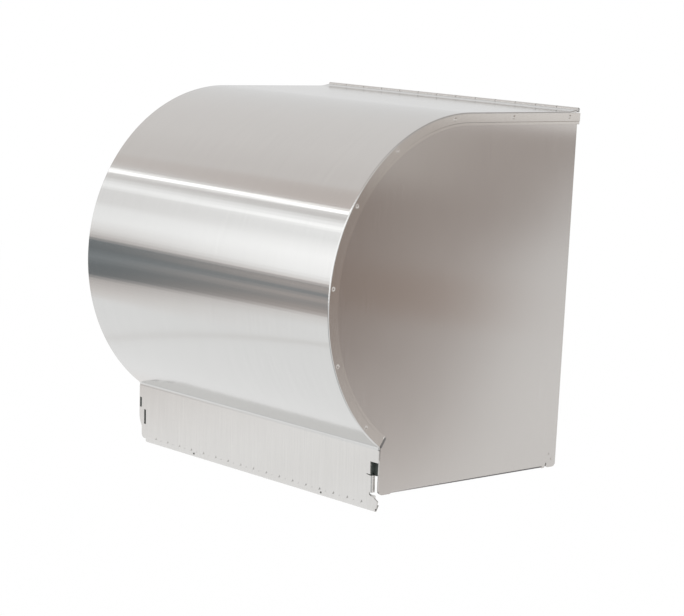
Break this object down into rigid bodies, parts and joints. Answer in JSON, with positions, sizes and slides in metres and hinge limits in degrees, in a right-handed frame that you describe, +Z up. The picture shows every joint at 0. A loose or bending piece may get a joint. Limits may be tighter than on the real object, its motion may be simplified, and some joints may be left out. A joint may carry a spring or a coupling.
{
  "type": "lever paper towel dispenser",
  "caption": "Wall-hung stainless paper towel dispenser: round-fronted hinged cover, push lever with tear edge, gear-driven feed rollers and sprung roll holder.",
  "frame": {"origin": "centre of the pattern of wall screw holes, on the face of the back plate that lies against the wall", "axes": "+X to the right as seen by a person facing the dispenser, +Y into the wall, +Z up; the front faces -Y"},
  "size_m": [0.26, 0.2322, 0.2699],
  "materials": {
    "stainless_cover": "satin, rolled round, fine grain across",
    "stainless_side": "satin, matter than the cover",
    "stainless_lever": "satin",
    "stainless_back": "mill finish",
    "stainless_hinge": "satin",
    "bright_steel": "turned",
    "spring_steel": "drawn wire",
    "zinc_steel": "dark zinc plating",
    "galvanised_sheet": "zinc plating, dull",
    "black_nylon": "moulded",
    "white_nylon": "moulded",
    "black_rubber": "moulded",
    "grey_rubber": "ground sleeve"
  },
  "bodies": {
    "cabinet": {"back_plate": "stainless_back", "side_panel_left": "stainless_side", "side_panel_right": "stainless_side", "hinge_leaf_wall": "stainless_hinge", "hinge_pin": "bright_steel", "cover_bumpers": "black_rubber", "lever_shaft": "bright_steel", "lever_spring": "spring_steel", "spring_peg_plate": "bright_steel", "shaft_bushes": "white_nylon", "feed_plate_left": "zinc_steel", "feed_plate_right": "zinc_steel", "tie_rods": "bright_steel", "paper_guide": "galvanised_sheet", "pinch_springs": "spring_steel", "roll_arm_left": "galvanised_sheet", "arm_bracket": "galvanised_sheet", "arm_pin": "bright_steel", "arm_spring": "spring_steel", "spring_seat": "white_nylon", "hub_pin_left": "bright_steel", "arm_rivets": "bright_steel"},
    "cover": {"cover_sheet": "stainless_cover", "cover_rim_left": "stainless_cover", "cover_rim_right": "stainless_cover", "hinge_leaf_cover": "stainless_hinge"},
    "lever": {"lever_plate": "stainless_lever", "tear_blade": "stainless_lever", "blade_rivets": "bright_steel", "lever_arm_left": "zinc_steel", "lever_arm_right": "zinc_steel", "lever_bushes": "black_nylon", "spring_peg_arm": "bright_steel", "sector_gear": "zinc_steel", "sector_rivets": "bright_steel"},
    "pinion": {"drive_pinion": "white_nylon"},
    "drive_roller": {"drive_shaft": "bright_steel", "feed_sleeves": "grey_rubber", "shaft_clips": "spring_steel"},
    "pinch_carriage": {"pinch_axle": "bright_steel", "pinch_blocks": "black_nylon"},
    "pinch_roll": {"pinch_roller": "white_nylon"},
    "roll_arm": {"roll_arm_right": "galvanised_sheet", "hub_pin_right": "bright_steel"},
    "left_hub": {"core_hub_left": "white_nylon"},
    "right_hub": {"core_hub_right": "white_nylon"}
  },
  "joints": [
    {"name": "cover_hinge", "type": "hinge", "parent": "cabinet", "child": "cover", "pos_m": [0, -0.0024, 0.1262], "axis": [-1, 0, 0], "range_deg": [0, 80]},
    {"name": "lever_pivot", "type": "hinge", "parent": "cabinet", "child": "lever", "pos_m": [0, -0.16596, -0.11148], "axis": [1, 0, 0], "range_deg": [0, 20], "stiffness_Nm_per_rad": 1, "springref_deg": -17.19, "deforming": ["lever_spring"]},
    {"name": "pinion_spin", "type": "hinge", "parent": "cabinet", "child": "pinion", "pos_m": [0, -0.13741, -0.09818], "axis": [1, 0, 0], "range_deg": [0, 110]},
    {"name": "drive_spin", "type": "hinge", "parent": "cabinet", "child": "drive_roller", "pos_m": [0, -0.13741, -0.09818], "axis": [1, 0, 0], "range_deg": [0, 110]},
    {"name": "pinch_slide", "type": "slide", "parent": "cabinet", "child": "pinch_carriage", "axis": [0, -1, 0], "range_m": [0, 0.0025], "stiffness_N_per_m": 1500, "springref_m": -0.005, "deforming": ["pinch_springs"]},
    {"name": "pinch_spin", "type": "hinge", "parent": "pinch_carriage", "child": "pinch_roll", "pos_m": [0, -0.15671, -0.09818], "axis": [1, 0, 0], "range_deg": [-240, 0]},
    {"name": "roll_arm_hinge", "type": "hinge", "parent": "cabinet", "child": "roll_arm", "pos_m": [0.10535, -0.008, 0.018], "axis": [0, 0, 1], "range_deg": [0, 9], "stiffness_Nm_per_rad": 0.8, "springref_deg": -22.92, "deforming": ["arm_spring"]},
    {"name": "left_hub_spin", "type": "hinge", "parent": "cabinet", "child": "left_hub", "pos_m": [-0.0963, -0.108, 0.018], "axis": [1, 0, 0], "continuous": true},
    {"name": "right_hub_spin", "type": "hinge", "parent": "roll_arm", "child": "right_hub", "pos_m": [0.0963, -0.108, 0.018], "axis": [1, 0, 0], "continuous": true}
  ],
  "couplings": [
    {"joint": "pinion_spin", "follows": "lever_pivot", "ratio": 5.5},
    {"joint": "drive_spin", "follows": "lever_pivot", "ratio": 5.5},
    {"joint": "pinch_spin", "follows": "lever_pivot", "ratio": -11.917}
  ]
}
